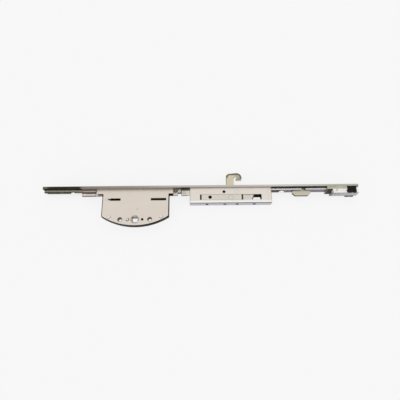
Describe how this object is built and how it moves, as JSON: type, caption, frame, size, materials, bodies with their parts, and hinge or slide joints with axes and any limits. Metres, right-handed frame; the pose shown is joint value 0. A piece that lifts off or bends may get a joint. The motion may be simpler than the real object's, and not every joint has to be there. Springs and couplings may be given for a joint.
{
  "type": "window espagnolette",
  "caption": "Concealed window espagnolette: a handle-driven rack moves flat rods behind a faceplate and swings a hook out of its case.",
  "frame": {"origin": "middle of the square spindle hole, halfway through the gear case", "axes": "+X along the faceplate from the gear case to the hook case, +Y out of the faceplate the way the hook points, +Z along the spindle, out of the handle's side"},
  "size_m": [0.465, 0.0815, 0.02],
  "materials": {
    "face_steel": "satin zinc plate",
    "case_steel": "satin zinc plate, faintly brushed",
    "slide_steel": "satin zinc plate",
    "rod_steel": "satin zinc plate",
    "rivet_steel": "bright plate",
    "dark_steel": "oiled",
    "hook_steel": "satin zinc plate, cast",
    "black_plastic": "matt"
  },
  "bodies": {
    "case": {"faceplate": "face_steel", "gear_case_base": "case_steel", "gear_case_cover": "case_steel", "gear_case_rivets": "rivet_steel", "handle_screw_sleeves": "dark_steel", "hook_case_body": "case_steel", "hook_case_cover": "case_steel", "hook_pivot_pin": "rivet_steel", "end_housing": "case_steel", "end_block": "black_plastic", "end_bracket": "rod_steel", "end_screws": "rivet_steel", "rod_guide_rivets": "rivet_steel"},
    "slide": {"drive_slide": "slide_steel", "guide_tabs": "slide_steel", "left_rod": "rod_steel", "left_connector": "slide_steel", "left_connector_rivets": "rivet_steel", "slide_link": "slide_steel", "slide_link_rivets": "rivet_steel", "hook_slide": "slide_steel", "window_plate": "slide_steel", "hook_drive_pin": "rivet_steel", "right_connector": "slide_steel", "right_connector_rivets": "rivet_steel", "right_rod": "rod_steel", "coupling_block": "case_steel", "coupling_screws": "rivet_steel", "extension_rod": "rod_steel"},
    "hub": {"hub": "dark_steel"},
    "hook": {"hook": "hook_steel"}
  },
  "joints": [
    {"name": "slide_travel", "type": "slide", "parent": "case", "child": "slide", "axis": [1, 0, 0], "range_m": [0, 0.01767]},
    {"name": "hub_turn", "type": "hinge", "parent": "case", "child": "hub", "pos_m": [0, 0, 0], "axis": [0, 0, 1], "range_deg": [-90, 0]},
    {"name": "hook_turn", "type": "hinge", "parent": "case", "child": "hook", "pos_m": [0.1482, 0.0405, 0], "axis": [0, 0, 1], "range_deg": [0, 90]}
  ],
  "couplings": [
    {"joint": "hub_turn", "follows": "slide_travel", "rad_per_m": -88.889},
    {"joint": "hook_turn", "follows": "slide_travel", "rad_per_m": 88.889}
  ]
}
